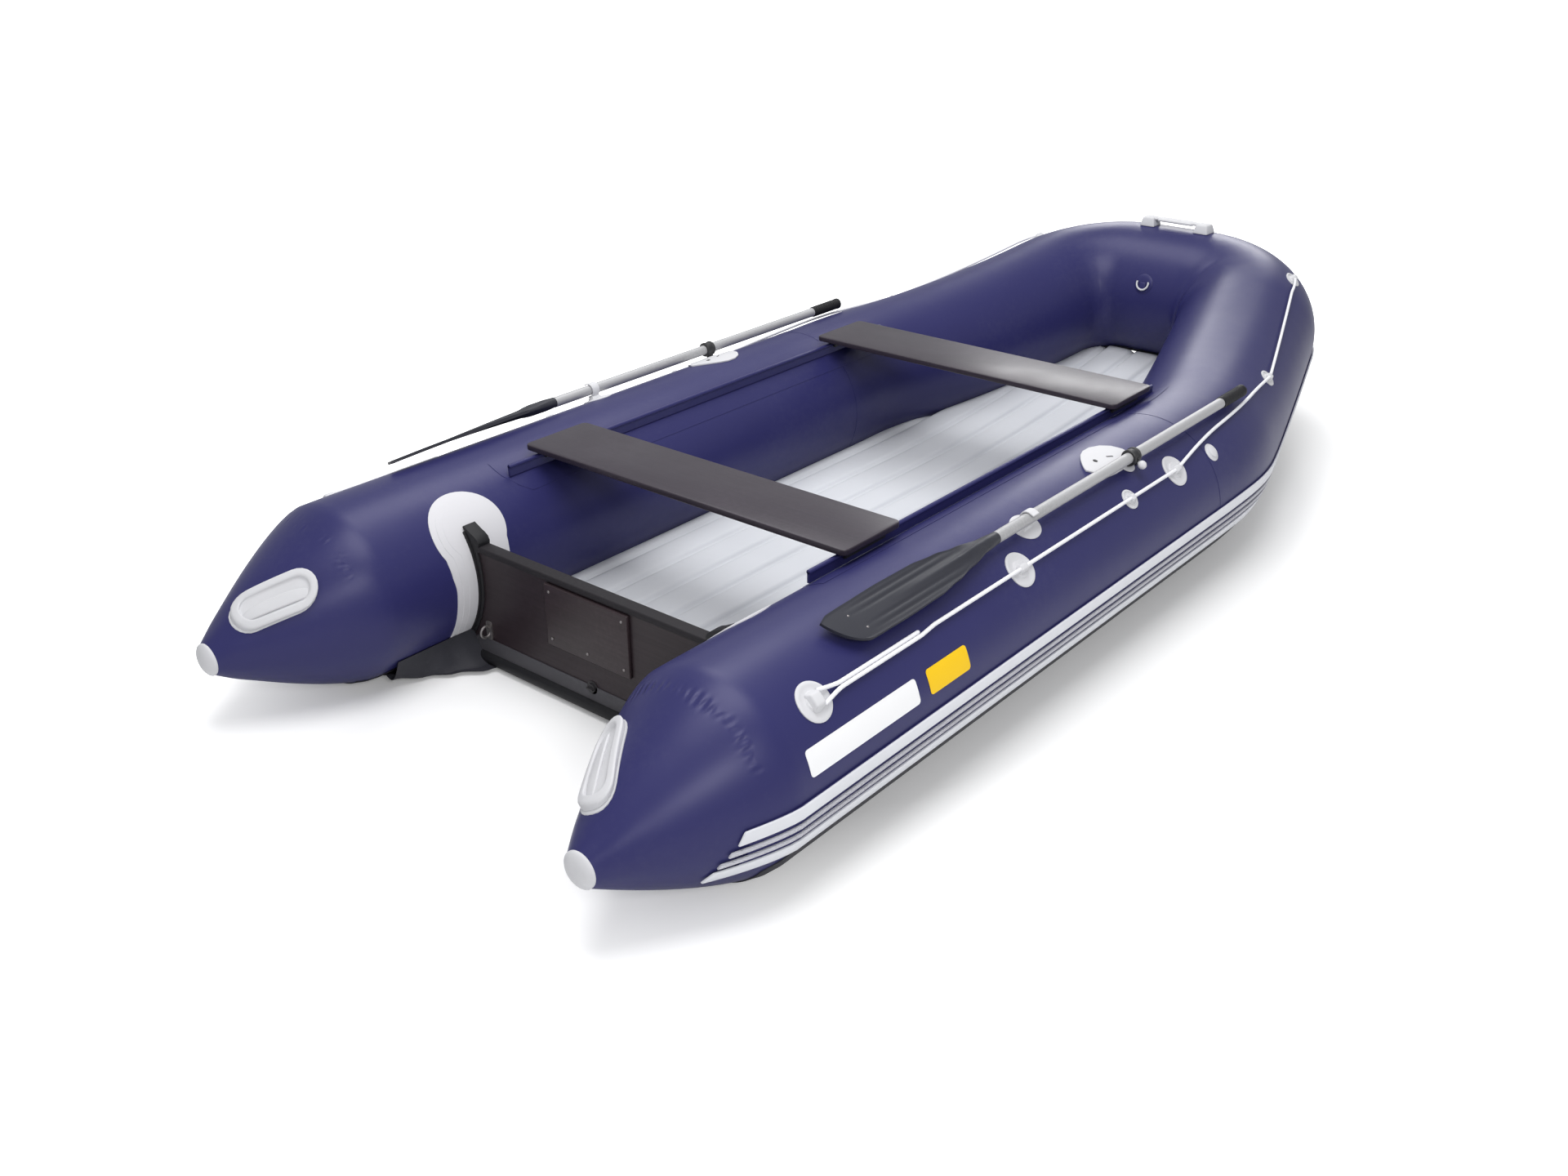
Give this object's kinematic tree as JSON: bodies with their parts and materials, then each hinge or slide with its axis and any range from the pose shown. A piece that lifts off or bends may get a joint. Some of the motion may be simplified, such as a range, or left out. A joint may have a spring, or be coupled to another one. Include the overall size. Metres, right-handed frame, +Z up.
{
  "type": "inflatable boat",
  "caption": "Inflatable motor boat with air tubes, an inflatable floor, a plywood transom, sliding bench seats and oars on pivot oarlocks.",
  "frame": {"origin": "on the ground under the middle of the boat's length and width", "axes": "+X to the bow, +Y to port, +Z up"},
  "size_m": [3.7971, 1.725, 0.676],
  "materials": {
    "tube_fabric": "navy coated fabric, satin",
    "floor_fabric": "light grey coated fabric, satin",
    "bottom_fabric": "charcoal coated fabric, satin",
    "pale_fabric": "pale grey coated fabric",
    "pale_fitting": "pale grey moulded fitting",
    "strake_navy": "navy moulded strip",
    "strake_grey": "light grey moulded ribs",
    "transom_board": "dark film-faced plywood",
    "transom_plate": "dark brown plate",
    "black_rubber": "black rubber",
    "black_plastic": "black moulded plastic",
    "ring_steel": "stainless steel",
    "pin_steel": "stainless steel",
    "seat_board": "dark brown film-faced plywood",
    "oar_aluminium": "satin anodised aluminium",
    "oar_blade": "dark moulded plastic",
    "white_rope": "white braided rope",
    "white_panel": "blank white panel",
    "yellow_panel": "blank yellow panel"
  },
  "bodies": {
    "root": {"air_floor": "floor_fabric", "air_valves": "pale_fitting", "bow_handle": "pale_fitting", "bow_inner_ring": "pale_fitting", "bow_tow_ring": "ring_steel", "bow_tube": "tube_fabric", "bow_wear_skin": "bottom_fabric", "drain_plug": "pale_fitting", "hull_bottom": "bottom_fabric", "keel_guards": "bottom_fabric", "name_panels": "white_panel", "number_panels": "yellow_panel", "port_cone_cap": "pale_fitting", "port_lifeline": "white_rope", "port_line_patches": "pale_fitting", "port_oar_clip": "pale_fitting", "port_oarlock_pad": "pale_fitting", "port_oarlock_pin": "pin_steel", "port_seat_track": "tube_fabric", "port_stern_handle": "pale_fitting", "port_transom_patch": "pale_fabric", "port_transom_socket": "black_rubber", "port_tube": "tube_fabric", "port_wear_skin": "bottom_fabric", "rub_strake": "strake_navy", "starboard_cone_cap": "pale_fitting", "starboard_lifeline": "white_rope", "starboard_line_patches": "pale_fitting", "starboard_oar_clip": "pale_fitting", "starboard_oarlock_pad": "pale_fitting", "starboard_oarlock_pin": "pin_steel", "starboard_seat_track": "tube_fabric", "starboard_stern_handle": "pale_fitting", "starboard_transom_patch": "pale_fabric", "starboard_transom_socket": "black_rubber", "starboard_tube": "tube_fabric", "starboard_wear_skin": "bottom_fabric", "stern_tow_rings": "ring_steel", "strake_ribs": "strake_grey", "transom": "transom_board", "transom_inner_plate": "transom_plate", "transom_lip": "black_rubber", "transom_outer_plate": "transom_plate"},
    "port_oar": {"port_oar_shaft": "oar_aluminium", "port_oar_grip": "black_rubber", "port_oar_blade": "oar_blade", "port_oar_collar": "black_plastic", "port_oar_knob": "pale_fitting"},
    "starboard_oar": {"starboard_oar_shaft": "oar_aluminium", "starboard_oar_grip": "black_rubber", "starboard_oar_blade": "oar_blade", "starboard_oar_collar": "black_plastic", "starboard_oar_knob": "pale_fitting"},
    "aft_bench": {"aft_seat": "seat_board", "aft_seat_clips": "black_plastic"},
    "fore_bench": {"fore_seat": "seat_board", "fore_seat_clips": "black_plastic"}
  },
  "joints": [
    {"name": "starboard_oar_swing", "type": "hinge", "parent": "root", "child": "starboard_oar", "pos_m": [-0.035, -0.73423, 0.47045], "axis": [0, -0.4226, 0.9063], "range_deg": [0, 90]},
    {"name": "port_oar_swing", "type": "hinge", "parent": "root", "child": "port_oar", "pos_m": [-0.035, 0.73423, 0.47045], "axis": [0, -0.4226, -0.9063], "range_deg": [0, 90]},
    {"name": "aft_seat_slide", "type": "slide", "parent": "root", "child": "aft_bench", "axis": [1, 0, 0], "range_m": [-0.06, 0.45]},
    {"name": "fore_seat_slide", "type": "slide", "parent": "root", "child": "fore_bench", "axis": [1, 0, 0], "range_m": [-0.45, 0.04]}
  ]
}
